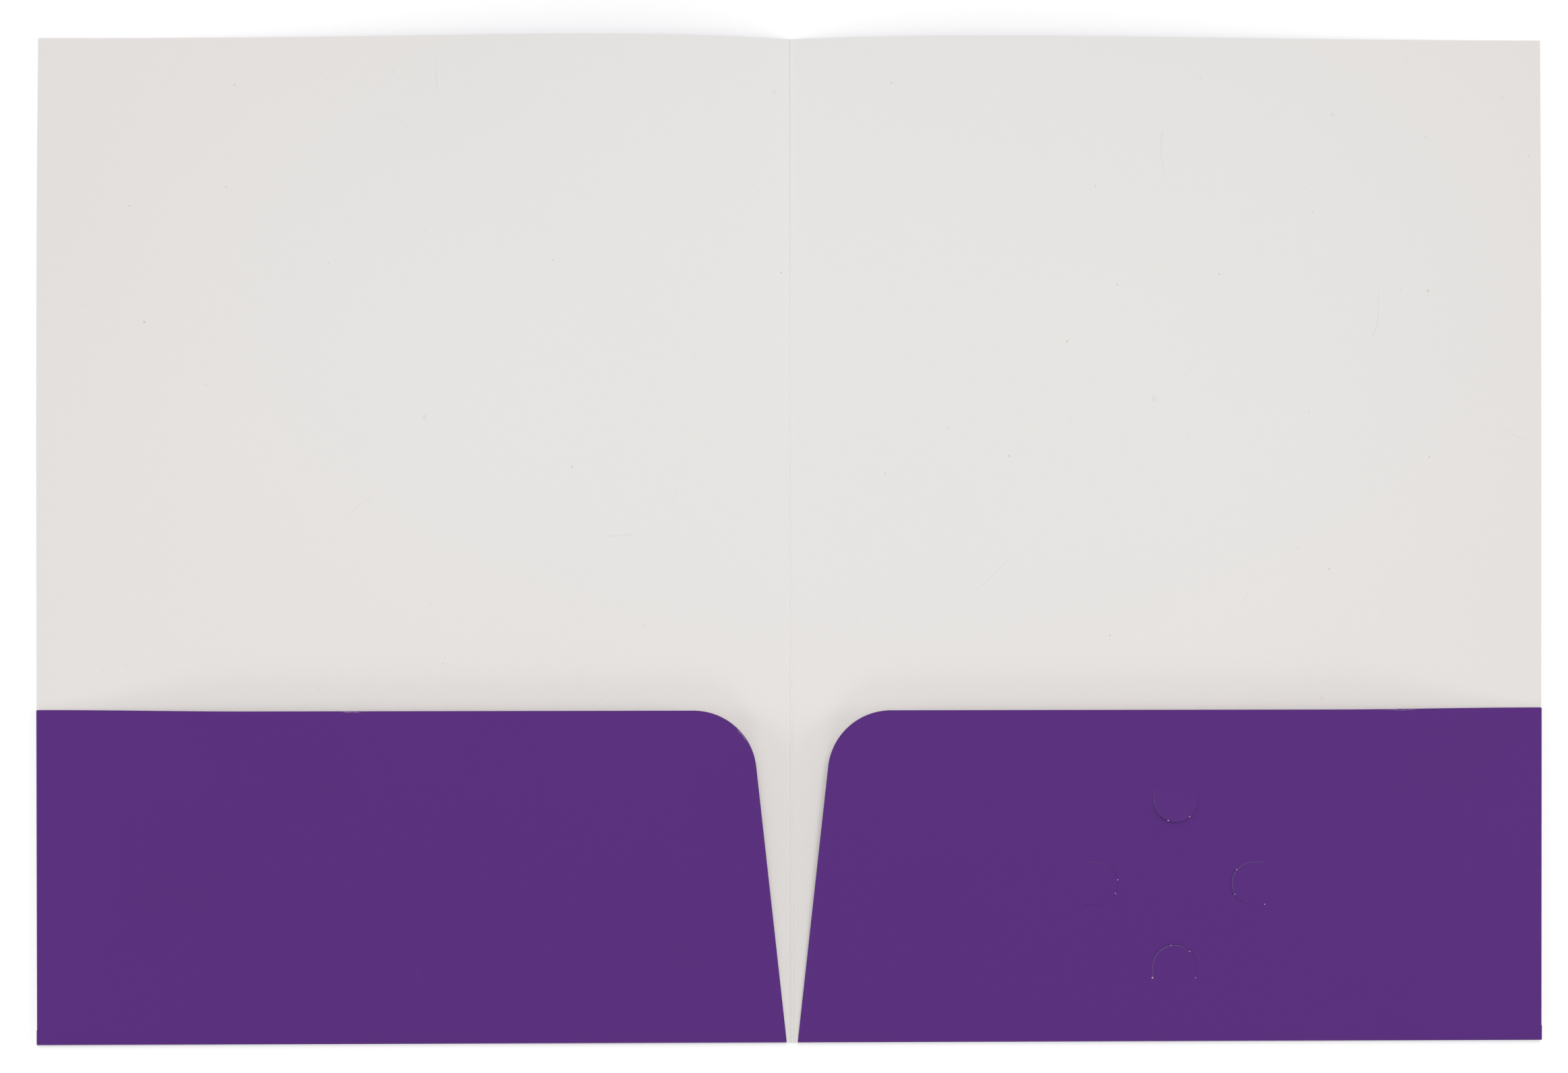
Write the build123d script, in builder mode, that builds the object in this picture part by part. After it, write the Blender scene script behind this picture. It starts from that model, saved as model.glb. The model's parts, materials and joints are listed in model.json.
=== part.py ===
from build123d import *

import os
from math import asin, cos, radians, sin, tan

# Two pocket folder, lying open on a table with its inside up.
# X runs across the spread to the right, Y runs up the page and Z points away from the table.
# The origin is on the table, under the middle of the spine crease.
# Sizes are in millimetres and angles in degrees.

# Sheet stock: white board with a coloured film laminated to its outside
BOARD = 0.31
FILM = 0.04

# Cover panels, one on each side of the spine crease
COVER_WIDTH = 228.6
COVER_HEIGHT = 304.8

# Spine crease: the strip between the two covers, with a pressed bead along its middle
SPINE_WIDTH = 3.4
BEAD_WIDTH = 1.0
BEAD_CREST = 0.4
BEAD_HEIGHT = 0.1

# Pockets: flaps of the same sheet, folded up at the bottom edge
POCKET_HEIGHT = 101.6
POCKET_SETBACK = 12.7
POCKET_CORNER = 19.05
POCKET_GAPE = 2.6
POCKET_TRAVEL = 6.0

# Glue tabs: folded behind the outer edge of each pocket and glued to the cover
GLUE_TAB_WIDTH = 15.9
GLUE_TAB_START = 4.0
GLUE_TAB_TAPER = 9.5
GLUE_THICKNESS = 0.05
GLUE_WIDTH = 6.4
GLUE_MARGIN = 4.0
TAB_CLEARANCE = 0.1
FOLD_SEAM = 0.05

# Card slots: four half-round tabs die cut in the back pocket, in two facing pairs
CARD_CENTRE_FROM_SPINE = 116.0
CARD_CENTRE_FROM_FOOT = 48.7
CARD_TIP_GAP_TALL = 38.0
CARD_TIP_GAP_WIDE = 34.8
CARD_TAB_WIDTH = 12.8
CARD_TAB_DEPTH = 10.0
KERF = 0.25

# Heights and places that follow from the sizes above
SHEET = BOARD + FILM
GAPE = radians(POCKET_GAPE)
SPINE_EDGE = SPINE_WIDTH / 2
HEAD_Y = COVER_HEIGHT / 2
FOOT_Y = -COVER_HEIGHT / 2
FOLD_GAP = GLUE_THICKNESS + SHEET + TAB_CLEARANCE
FOLD_INNER = FOLD_GAP / 2
FOLD_OUTER = FOLD_INNER + SHEET
FOLD_AXIS_Y = FOOT_Y + FOLD_OUTER
FOLD_AXIS_Z = SHEET + FOLD_INNER
POCKET_RUN = POCKET_HEIGHT - FOLD_OUTER
GLUE_TAB_BOTTOM = SHEET + GLUE_THICKNESS
GLUE_TAB_FOOT_Y = FOLD_AXIS_Y + GLUE_TAB_START
GLUE_TAB_HEAD_Y = FOLD_AXIS_Y + POCKET_RUN * cos(GAPE) - FOLD_OUTER * sin(GAPE)
GLUE_TAB_EDGE = COVER_WIDTH - GLUE_TAB_WIDTH

# The side folds are half cones that touch the glue tab, the cover's edge and the pocket's face
CONE_TIP_Y = FOLD_AXIS_Y - (FOLD_AXIS_Z + FOLD_OUTER / cos(GAPE) - GLUE_TAB_BOTTOM) / tan(GAPE)

# The pocket's own plane turns about the axis of the bottom fold
POCKET_PLANE = Plane(
    origin=(0, FOLD_AXIS_Y, FOLD_AXIS_Z),
    x_dir=(1, 0, 0),
    z_dir=(0, -sin(GAPE), cos(GAPE)),
)

# Each card tab: its name, the way it points in the pocket's plane, and its tip's distance from the centre
CARD_TABS = {
    "top": (-90, CARD_TIP_GAP_TALL / 2),
    "bottom": (90, CARD_TIP_GAP_TALL / 2),
    "left": (0, CARD_TIP_GAP_WIDE / 2),
    "right": (180, CARD_TIP_GAP_WIDE / 2),
}

# The front cover is the left panel of the open folder and the back cover the right one
SIDES = {"front": -1, "back": 1}


def side_fold_radius(y):
    """Outer radius of the fold that joins the pocket's outer edge to its glue tab, at one height up the page."""
    return (y - CONE_TIP_Y) * tan(GAPE / 2)


def card_tab_plane(name):
    """Plane on the pocket's outer face at a card tab's root, with its X axis along the tab."""
    direction, tip_distance = CARD_TABS[name]
    root_distance = tip_distance + CARD_TAB_DEPTH
    turn = radians(direction)
    root = POCKET_PLANE.from_local_coords(
        Vector(
            CARD_CENTRE_FROM_SPINE - root_distance * cos(turn),
            CARD_CENTRE_FROM_FOOT - FOLD_OUTER - root_distance * sin(turn),
            FOLD_OUTER,
        )
    )
    along = POCKET_PLANE.x_dir * cos(turn) + POCKET_PLANE.y_dir * sin(turn)
    return Plane(origin=root, x_dir=along, z_dir=POCKET_PLANE.z_dir)


def cover_layer(side, bottom, thickness):
    """One layer of a cover panel, from the spine strip to the outer edge and from the bottom fold up."""
    width = COVER_WIDTH - SPINE_EDGE
    height = HEAD_Y - FOLD_AXIS_Y
    with BuildPart() as layer:
        with BuildSketch(Plane.XY.offset(bottom)):
            with Locations((side * (SPINE_EDGE + width / 2), FOLD_AXIS_Y + height / 2)):
                Rectangle(width, height)
        extrude(amount=thickness)
    return layer


def spine_layer(bottom, thickness):
    """One layer of the spine strip, with the bead that the creasing rule pressed towards the inside."""
    top = bottom + thickness
    half_bead = BEAD_WIDTH / 2
    half_crest = BEAD_CREST / 2
    with BuildPart() as layer:
        with BuildSketch(Plane.XZ.offset(FOOT_Y)):
            with BuildLine():
                Polyline(
                    (-SPINE_EDGE, bottom),
                    (-half_bead, bottom),
                    (-half_crest, bottom + BEAD_HEIGHT),
                    (half_crest, bottom + BEAD_HEIGHT),
                    (half_bead, bottom),
                    (SPINE_EDGE, bottom),
                    (SPINE_EDGE, top),
                    (half_bead, top),
                    (half_crest, top + BEAD_HEIGHT),
                    (-half_crest, top + BEAD_HEIGHT),
                    (-half_bead, top),
                    (-SPINE_EDGE, top),
                    close=True,
                )
            make_face()
        extrude(amount=COVER_HEIGHT)
    return layer


def bottom_fold(side):
    """The half round turn of the sheet at the bottom edge, from the cover up to the pocket."""
    first_angle = 90 + POCKET_GAPE
    sweep_angle = 270 - POCKET_TRAVEL - first_angle
    centre = (FOLD_AXIS_Y, FOLD_AXIS_Z)
    with BuildPart() as fold:
        with BuildSketch(Plane.YZ.offset(side * SPINE_EDGE)):
            with BuildLine():
                outer = CenterArc(centre, FOLD_OUTER, first_angle, sweep_angle)
                inner = CenterArc(centre, FOLD_INNER, first_angle, sweep_angle)
                Line(outer @ 0, inner @ 0)
                Line(outer @ 1, inner @ 1)
            make_face()
        extrude(amount=side * (COVER_WIDTH - SPINE_EDGE))
    return fold


def side_fold(side):
    """The turn of the sheet at the pocket's outer edge, a half cone that opens towards the mouth."""
    tip = Vector(side * COVER_WIDTH, CONE_TIP_Y, GLUE_TAB_BOTTOM)
    slope = tan(GAPE / 2)
    run = Vector(-side * slope, 1, slope)
    cone_axis = Axis(tip, run * -side)
    across = run.cross(Vector(0, 0, 1)).normalized()
    wall_plane = Plane(origin=tip, x_dir=run, z_dir=across)
    half_angle = asin(slope / run.length)
    wall = SHEET / cos(half_angle)
    foot = (GLUE_TAB_FOOT_Y - CONE_TIP_Y) * run.length
    head = (GLUE_TAB_HEAD_Y - CONE_TIP_Y) * run.length
    foot_radius = foot * tan(half_angle)
    head_radius = head * tan(half_angle)
    with BuildPart() as fold:
        with BuildSketch(wall_plane):
            with BuildLine():
                Polyline(
                    (foot, -foot_radius),
                    (head, -head_radius),
                    (head, wall - head_radius),
                    (foot, wall - foot_radius),
                    close=True,
                )
            make_face()
        revolve(axis=cone_axis, revolution_arc=180)
    return fold


def glue_tab(side):
    """The flat part of the glue tab, with both ends cut on a slant, lying on its glue."""
    foot_edge = COVER_WIDTH - side_fold_radius(GLUE_TAB_FOOT_Y)
    head_edge = COVER_WIDTH - side_fold_radius(GLUE_TAB_HEAD_Y)
    with BuildPart() as tab:
        with BuildSketch(Plane.XY.offset(GLUE_TAB_BOTTOM)):
            with BuildLine():
                Polyline(
                    (side * foot_edge, GLUE_TAB_FOOT_Y),
                    (side * head_edge, GLUE_TAB_HEAD_Y),
                    (side * GLUE_TAB_EDGE, GLUE_TAB_HEAD_Y - GLUE_TAB_TAPER),
                    (side * GLUE_TAB_EDGE, GLUE_TAB_FOOT_Y + GLUE_TAB_TAPER),
                    close=True,
                )
            make_face()
        extrude(amount=SHEET)
    return tab


def glue_line(side):
    """The strip of adhesive that holds the glue tab to the inside of the cover."""
    length = GLUE_TAB_HEAD_Y - GLUE_TAB_FOOT_Y - 2 * (GLUE_TAB_TAPER + GLUE_MARGIN)
    middle_x = GLUE_TAB_EDGE + GLUE_MARGIN + GLUE_WIDTH / 2
    middle_y = (GLUE_TAB_HEAD_Y + GLUE_TAB_FOOT_Y) / 2
    with BuildPart() as glue:
        with BuildSketch(Plane.XY.offset(SHEET)):
            with Locations((side * middle_x, middle_y)):
                SlotOverall(length, GLUE_WIDTH, rotation=90)
        extrude(amount=GLUE_THICKNESS)
    return glue


def pocket_layer(side, bottom, thickness, slotted):
    """One layer of a pocket panel, with a rounded inner top corner, a tapered inner edge and any card slots."""
    foot_edge = COVER_WIDTH - side_fold_radius(GLUE_TAB_FOOT_Y) - FOLD_SEAM
    head_edge = COVER_WIDTH - side_fold_radius(GLUE_TAB_HEAD_Y) - FOLD_SEAM
    half = CARD_TAB_WIDTH / 2 + KERF
    straight = CARD_TAB_DEPTH + KERF - half
    with BuildPart() as layer:
        with BuildSketch(POCKET_PLANE.offset(bottom)):
            with BuildLine():
                Polyline(
                    (side * SPINE_EDGE, 0),
                    (side * COVER_WIDTH, 0),
                    (side * COVER_WIDTH, GLUE_TAB_START),
                    (side * foot_edge, GLUE_TAB_START),
                    (side * head_edge, POCKET_RUN),
                    (side * POCKET_SETBACK, POCKET_RUN),
                    close=True,
                )
            outline = make_face()
            inner_corner = outline.vertices().sort_by_distance((side * POCKET_SETBACK, POCKET_RUN))[0]
            fillet(inner_corner, radius=POCKET_CORNER)
        extrude(amount=thickness)
        if slotted:
            for name in CARD_TABS:
                with BuildSketch(card_tab_plane(name)):
                    with BuildLine():
                        Polyline((straight, half), (0, half), (0, -half), (straight, -half))
                        ThreePointArc((straight, -half), (straight + half, 0), (straight, half))
                    make_face()
                extrude(amount=-SHEET, mode=Mode.SUBTRACT)
    return layer


def card_tab_layer(name, bottom, thickness):
    """One layer of a half-round card tab, at rest level with the pocket that it is cut from."""
    half = CARD_TAB_WIDTH / 2
    straight = CARD_TAB_DEPTH - half
    with BuildPart() as layer:
        with BuildSketch(card_tab_plane(name).offset(bottom - FOLD_OUTER)):
            with BuildLine():
                Polyline((straight, half), (0, half), (0, -half), (straight, -half))
                ThreePointArc((straight, -half), (straight + half, 0), (straight, half))
            make_face()
        extrude(amount=thickness)
    return layer


def write(piece, name):
    """Label one finished piece and write it to its own file."""
    piece.part.label = name
    export_step(piece.part, f"parts/{name}.step")


os.makedirs("parts", exist_ok=True)

write(spine_layer(0, FILM), "spine_crease_film")
write(spine_layer(FILM, BOARD), "spine_crease_board")

for side_name, side_sign in SIDES.items():
    has_slots = side_name == "back"
    write(cover_layer(side_sign, 0, FILM), f"{side_name}_cover_film")
    write(cover_layer(side_sign, FILM, BOARD), f"{side_name}_cover_board")
    write(bottom_fold(side_sign), f"{side_name}_bottom_fold")
    write(side_fold(side_sign), f"{side_name}_side_fold")
    write(glue_tab(side_sign), f"{side_name}_glue_tab")
    write(glue_line(side_sign), f"{side_name}_glue_line")
    write(pocket_layer(side_sign, FOLD_INNER, BOARD, has_slots), f"{side_name}_pocket_board")
    write(pocket_layer(side_sign, FOLD_INNER + BOARD, FILM, has_slots), f"{side_name}_pocket_film")

for tab_name in CARD_TABS:
    write(card_tab_layer(tab_name, FOLD_INNER, BOARD), f"card_tab_{tab_name}_board")
    write(card_tab_layer(tab_name, FOLD_INNER + BOARD, FILM), f"card_tab_{tab_name}_film")
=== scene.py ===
import json
from math import atan2, cos, pi, radians, sin, sqrt

import bpy
from mathutils import Matrix, Vector


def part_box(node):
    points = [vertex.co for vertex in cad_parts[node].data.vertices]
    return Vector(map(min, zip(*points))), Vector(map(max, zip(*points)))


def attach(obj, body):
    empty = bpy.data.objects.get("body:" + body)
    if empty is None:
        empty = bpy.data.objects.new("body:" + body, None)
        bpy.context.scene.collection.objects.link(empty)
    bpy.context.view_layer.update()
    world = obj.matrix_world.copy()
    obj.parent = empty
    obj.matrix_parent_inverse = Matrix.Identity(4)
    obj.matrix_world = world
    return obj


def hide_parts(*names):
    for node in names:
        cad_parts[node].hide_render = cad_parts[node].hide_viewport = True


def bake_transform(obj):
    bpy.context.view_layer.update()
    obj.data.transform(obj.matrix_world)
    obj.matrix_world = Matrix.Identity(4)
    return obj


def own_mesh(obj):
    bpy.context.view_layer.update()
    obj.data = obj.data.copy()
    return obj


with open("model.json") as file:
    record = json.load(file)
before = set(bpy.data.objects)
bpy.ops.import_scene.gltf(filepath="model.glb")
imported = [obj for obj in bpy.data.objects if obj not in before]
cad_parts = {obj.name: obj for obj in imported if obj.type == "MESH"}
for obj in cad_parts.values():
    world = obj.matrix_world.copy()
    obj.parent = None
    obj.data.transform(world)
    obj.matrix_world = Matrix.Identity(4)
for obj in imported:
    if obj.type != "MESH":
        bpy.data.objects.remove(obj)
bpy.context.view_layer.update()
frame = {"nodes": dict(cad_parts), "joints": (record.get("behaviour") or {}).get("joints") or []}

# Two pocket folder, lying open with its inside up: X runs across the spread, Y up the page, Z off the table.
# Lengths are in metres, written in millimetres, and angles are in radians.
MM = 0.001
SIDES = {"front": -1, "back": 1}
JOINTS = {joint["name"]: joint for joint in frame["joints"]}

# The sheet and its panels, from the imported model
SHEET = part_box("back_cover_board")[1].z
OUTER_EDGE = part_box("back_cover_board")[1].x
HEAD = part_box("back_cover_board")[1].y
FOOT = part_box("spine_crease_board")[0].y
SPINE_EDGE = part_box("spine_crease_board")[1].x

# The bottom folds and the pockets that turn about them
FOLD_AXIS = Vector(JOINTS["back_pocket_open"]["pos_m"])
FOLD_OUTER = FOLD_AXIS.y - FOOT
FOLD_INNER = FOLD_OUTER - SHEET
GAPE = radians(JOINTS["back_pocket_press"]["range_deg"][1])
POCKET_FACE = FOLD_AXIS.z + FOLD_OUTER
POCKET_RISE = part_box("back_pocket_board")[1].y - FOLD_AXIS.y
MOUTH = FOLD_AXIS.y + (POCKET_RISE + FOLD_INNER * sin(GAPE)) / cos(GAPE)
POCKET_SETBACK = 12.7 * MM
POCKET_CORNER = 19.05 * MM

# The distance from a pocket's glued outer edge over which its gape grows to the full angle
GAPE_RUN = 65 * MM

# The glue tabs and the tight folds that join them to the pockets' outer edges
TAB_LOW, TAB_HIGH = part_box("back_glue_tab")
GLUE_TAB_TAPER = 9.5 * MM
SIDE_FOLD_RADIUS = (POCKET_FACE - TAB_LOW.z) / 2
SIDE_FOLD_X = OUTER_EDGE - SIDE_FOLD_RADIUS
SIDE_FOLD_NOTCH = 0.2 * MM

# The card tabs, die cut in the back pocket
CARD_TAB_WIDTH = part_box("card_tab_top_film")[1].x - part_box("card_tab_top_film")[0].x
CARD_TAB_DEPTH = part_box("card_tab_left_film")[1].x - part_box("card_tab_left_film")[0].x
CARD_TAB_STRAIGHT = CARD_TAB_DEPTH - CARD_TAB_WIDTH / 2

# The cut round a card tab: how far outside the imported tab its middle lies, how wide it shows, and its cutter
CUT_LINE = 0.125 * MM
CUT_GAP = 0.03 * MM
CUTTER_THICKNESS = 4 * SHEET

# How far each card tab has curled up at its tip, and how late along the tab the curl comes
CARD_TAB_LIFT = {"top": 0.9 * MM, "bottom": 0.4 * MM, "left": 0.12 * MM, "right": 0.3 * MM}
CURL_POWER = 1.6

# The pale rim of each card tab: a painted highlight on its film, strongest where the cut edge faces the head
# and the left
RIM_HIGHLIGHT_REACH = 0.16 * MM
RIM_HIGHLIGHT_WAY = Vector((-1, 1, 0)).normalized()
RIM_HIGHLIGHT_ROUND = 0.25
RIM_HIGHLIGHT_SHARE = {"top": 0.85, "bottom": 1.0, "left": 0.5, "right": 0.8}

# Torn nicks that held each card tab: the distance across the tab from its middle, and the nub's width
TIP_NICKS = {
    "top": ((-2.3 * MM, 0.40 * MM), (4.2 * MM, 0.40 * MM)),
    "bottom": ((1.1 * MM, 0.40 * MM), (-4.65 * MM, 0.45 * MM)),
    "left": ((1.1 * MM, 0.42 * MM), (-3.0 * MM, 0.32 * MM)),
    "right": ((-4.1 * MM, 0.42 * MM), (3.4 * MM, 0.38 * MM)),
}

# Torn nicks at the ends of a slit: the side of the tab, and the nub's width
SLIT_END_NICKS = {
    "bottom": ((1, 0.60 * MM), (-1, 0.36 * MM)),
    "right": ((1, 0.36 * MM),),
}

# A nub's shape, and the shares of its width by which it is ragged and sunk in the sheet
NUB_SHAPE = (0.8, 1.0, 0.6)
NUB_RAGGEDNESS = 0.07
NUB_SINK = 0.125

# Where hands and papers have rubbed the pockets' edges: the place across the spread, and half the width
WORN_SPOTS = ((-132.3 * MM, 7 * MM), (185 * MM, 11 * MM), (-15.5 * MM, 4.5 * MM))

# The scraped streaks there: how far in they reach, the rim that they spare, how bare they are, and their size
WORN_REACH = 0.65 * MM
WORN_INSET = 0.22 * MM
WORN_DEPTH = 0.4
STREAK_LENGTH = 2.0 * MM
STREAK_WIDTH = 0.12 * MM

# The bow of each cover: the crest at its head, and the powers of its climb from the spine and its fall
COVER_BOW = {"front": (7.6 * MM, 1.1, 3.2), "back": (5.7 * MM, 1.0, 2.6)}
BOW_CLIMB = 1.5

# Faint waves up the page on the bowed covers, which slant by so many radians from spine to edge
COCKLE_HEIGHT = 0.12 * MM
COCKLE_LENGTH = 71 * MM
COCKLE_SLANT = 9

# The bead that the creasing rule pressed along the spine, and the width of the darker lines at its feet:
# burnishing and painted crease shade
BEAD_FOOT = 0.5 * MM
BEAD_CREST = 0.15 * MM
BEAD_HEIGHT = 0.06 * MM
CREASE_LINE_CORE = 0.05 * MM
CREASE_LINE_REACH = 0.42 * MM

# How finely the sheets are divided: columns and rows, and steps along a curve
COVER_GRID = (96, 80)
SPINE_GRID = (34, 80)
POCKET_GRID = (90, 20)
GLUE_TAB_GRID = (6, 40)
BOW_STEPS = 40
FOLD_STEPS = 10
CORNER_CUTS = 40
CARD_TIP_STEPS = 16
CARD_TAB_STRIPS = 12

# How near a cut meets a vertex, doubles merge and a vertex counts as on a line
CUT_EXACTNESS = 0.0001 * MM
SEAM_MERGE = 0.001 * MM
TIP_MERGE = 0.01 * MM
LINE_MARGIN = 0.01 * MM

# Where a sheet's materials stand after its film, which comes first
INSIDE_MATERIAL = 1
EDGE_MATERIAL = 2

# Edges that bend by more than this stay sharp
POCKET_SHARPNESS = radians(30)
NUB_SHARPNESS = radians(50)

# The camera looks straight down, within a degree
CAMERA_LENS = 50
CAMERA_PLACE = Vector((-9.9, 4.5, 661.8)) * MM
CAMERA_TURN = (radians(-0.261), radians(-0.653), radians(-0.050))

# Lamps: the place, the size, the share of the light on the table, and whether it shows in gloss
LAMPS = {
    "head_lamp": (Vector((0.4, 2.8, 3.2)), 2.4, 0.24, True),
    "top_lamp": (Vector((0.1, 0.7, 4.2)), 2.4, 0.18, False),
    "left_lamp": (Vector((-2.8, 0, 1.1)), 1.0, 0.06, True),
    "right_lamp": (Vector((2.8, 0, 1.1)), 1.0, 0.06, True),
    "foot_lamp": (Vector((0, -2.7, 1.3)), 0.9, 0.045, True),
}

# The even sky's share of the light on the table
SKY_SHARE = 0.44

# The floor, which glows white where it is seen, faintly by the folder and more from there on
FLOOR_SIZE = 60.0
FLOOR_DROP = 0.2 * MM
NEAR_GLOW = 0.16
FAR_GLOW = 0.80
GLOW_START = 0.45
GLOW_END = 2.5

# The ovals inside which the white board keeps its plain colour and its full brightness: outside the first it
# turns pinker, partly yellowed and partly painted bounce light from the purple pockets; outside the second it
# darkens with painted shade, by up to so much
UNTINGED_CENTRE = (25 * MM, 75 * MM)
UNTINGED_RADII = (195 * MM, 107 * MM)
BRIGHT_CENTRE = (0, -60 * MM)
BRIGHT_RADII = (330 * MM, 300 * MM)
PAINTED_SHADE_DEPTH = 0.07

# Colours, linear
WHITE_BOARD = (0.804, 0.793, 0.776, 1)
CREASE_LINE_BOARD = (0.734, 0.703, 0.691, 1)
# A pinker board: partly yellowed paper, partly painted bounce light from the purple pockets
TINGED_BOARD = (0.811, 0.780, 0.765, 1)
SPOT_GREY = (0.62, 0.615, 0.60, 1)
SPECK_GREY = (0.40, 0.39, 0.38, 1)
FLECK_TAN = (0.60, 0.50, 0.33, 1)
SCUFF_GREY = (0.66, 0.65, 0.63, 1)
BOARD_CORE = (0.74, 0.72, 0.69, 1)
PURPLE_FILM = (0.087, 0.0162, 0.186, 1)
# A grey lilac: the painted highlight along card tabs' cut edges, and the frayed rims of the tabs
RIM_LILAC = (0.19, 0.17, 0.27, 1)
DRIED_GLUE = (0.80, 0.76, 0.62, 1)
FLOOR_WHITE = (0.9, 0.9, 0.9, 1)
PURE_WHITE = (1, 1, 1, 1)

# Marks on the white board: their spacing, their largest and smallest size, their strength and their colour
BOARD_MARKS = (
    (55 * MM, 1.0 * MM, -0.7 * MM, 0.28, SPOT_GREY),
    (33 * MM, 0.30 * MM, 0.0, 0.7, SPECK_GREY),
    (97 * MM, 0.55 * MM, 0.0, 0.55, FLECK_TAN),
)


# Modelling by hand: small steps that every piece uses
def open_sheet(sheet):
    """Open one sheet alone in edit mode, with all of it selected."""
    bpy.ops.object.select_all(action="DESELECT")
    sheet.select_set(True)
    bpy.context.view_layer.objects.active = sheet
    bpy.ops.object.mode_set(mode="EDIT")
    bpy.ops.mesh.select_mode(type="VERT")
    bpy.ops.mesh.select_all(action="SELECT")


def close_sheet():
    """Leave edit mode."""
    bpy.ops.object.mode_set(mode="OBJECT")


def start_sheet(name, low, high, columns, rows):
    """A flat grid between two opposite corners, with its place in its mesh."""
    bpy.ops.object.select_all(action="DESELECT")
    bpy.ops.mesh.primitive_grid_add(x_subdivisions=columns, y_subdivisions=rows, size=1)
    sheet = bpy.context.object
    sheet.name = name
    sheet.data.name = name
    sheet.location = (low + high) / 2
    sheet.scale = (abs(high.x - low.x), abs(high.y - low.y), 1)
    bpy.ops.object.transform_apply(location=True, rotation=True, scale=True)
    return sheet


def pick_vertices(sheet, chosen):
    """Open a sheet in edit mode with only the vertices selected whose place passes a test."""
    open_sheet(sheet)
    bpy.ops.mesh.select_all(action="DESELECT")
    close_sheet()
    for vertex in sheet.data.vertices:
        vertex.select = chosen(vertex.co)
    bpy.ops.object.mode_set(mode="EDIT")


def score(sheet, point, across):
    """Add a straight row of edges to a sheet."""
    open_sheet(sheet)
    bpy.ops.mesh.bisect(plane_co=point, plane_no=across, threshold=CUT_EXACTNESS)
    close_sheet()


def trim(sheet, point, outward):
    """Cut a sheet along a straight line and take away what lies outward of it."""
    open_sheet(sheet)
    bpy.ops.mesh.bisect(plane_co=point, plane_no=outward, clear_outer=True, threshold=CUT_EXACTNESS)
    close_sheet()


def fold_over(sheet, chosen, centre, axis):
    """Fold the chosen edge of a sheet over by half a turn."""
    pick_vertices(sheet, chosen)
    bpy.ops.mesh.spin(steps=FOLD_STEPS, angle=pi, center=centre, axis=axis)
    # Spin lists its new edges and faces in a different order each time, so all are sorted by their place
    bpy.ops.mesh.select_all(action="SELECT")
    bpy.ops.mesh.sort_elements(type="CURSOR_DISTANCE", elements={"EDGE", "FACE"})
    close_sheet()


def face_film(sheet, outward):
    """Turn all faces the same way round, with the film side of the largest one facing outward."""
    open_sheet(sheet)
    bpy.ops.mesh.remove_doubles(threshold=SEAM_MERGE)
    bpy.ops.mesh.normals_make_consistent(inside=False)
    close_sheet()
    largest = max(sheet.data.polygons, key=lambda face: face.area)
    if largest.normal.dot(outward) < 0:
        open_sheet(sheet)
        bpy.ops.mesh.flip_normals()
        close_sheet()


def keep_cut_edges(sheet):
    """Smooth a sheet's face and keep its cut edges sharp."""
    open_sheet(sheet)
    bpy.ops.mesh.region_to_loop()
    bpy.ops.mesh.mark_sharp()
    close_sheet()
    bpy.ops.object.shade_smooth()


def thicken(sheet):
    """Give a sheet its board under the film face, with a bare cut edge."""
    board = sheet.modifiers.new("board", "SOLIDIFY")
    board.thickness = SHEET
    board.offset = -1
    board.material_offset = INSIDE_MATERIAL
    board.material_offset_rim = EDGE_MATERIAL
    return board


def apply_modifier(piece, modifier):
    """Make a modifier's shape the piece's own mesh."""
    bpy.ops.object.select_all(action="DESELECT")
    piece.select_set(True)
    bpy.context.view_layer.objects.active = piece
    bpy.ops.object.modifier_apply(modifier=modifier.name)


def dress(piece, *materials):
    """Give a piece its materials: film, inside and cut edge for a sheet."""
    piece.data.materials.clear()
    for material in materials:
        piece.data.materials.append(material)


# Shapes that several pieces share
def smooth_step(share):
    """A share kept between 0 and 1, and eased at both ends."""
    share = min(1, max(0, share))
    return share**2 * (3 - 2 * share)


def cover_reach(x):
    """Share of the way from the foot of the spine's bead to the outer edge."""
    return min(1, max(0, (abs(x) - BEAD_FOOT) / (OUTER_EDGE - BEAD_FOOT)))


def bow_height(side_name, reach, y):
    """How far a cover rises off the table, at a share of the way from the spine to its outer edge."""
    crest, near, far = COVER_BOW[side_name]
    crest_reach = near / (near + far)
    profile = reach**near * (1 - reach) ** far
    crest_profile = crest_reach**near * (1 - crest_reach) ** far
    climb = max(0, (y - MOUTH) / (HEAD - MOUTH))
    cockle = COCKLE_HEIGHT * (1 + sin(y / COCKLE_LENGTH * 2 * pi + reach * COCKLE_SLANT)) / 2
    return (crest * profile / crest_profile + cockle * 4 * reach * (1 - reach)) * climb**BOW_CLIMB


def bowed_place(side_name, x, y):
    """Where a point of a flat cover comes to lie when the cover bows without stretching."""
    step = (abs(x) - BEAD_FOOT) / BOW_STEPS
    reached = BEAD_FOOT
    height = 0
    for count in range(1, BOW_STEPS + 1):
        next_height = bow_height(side_name, cover_reach(BEAD_FOOT + count * step), y)
        reached += sqrt(step**2 - (next_height - height) ** 2)
        height = next_height
    return Vector((SIDES[side_name] * reached, y, height))


def bead_height(x):
    """Rise of the spine's pressed bead."""
    return BEAD_HEIGHT * smooth_step((BEAD_FOOT - abs(x)) / (BEAD_FOOT - BEAD_CREST))


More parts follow.
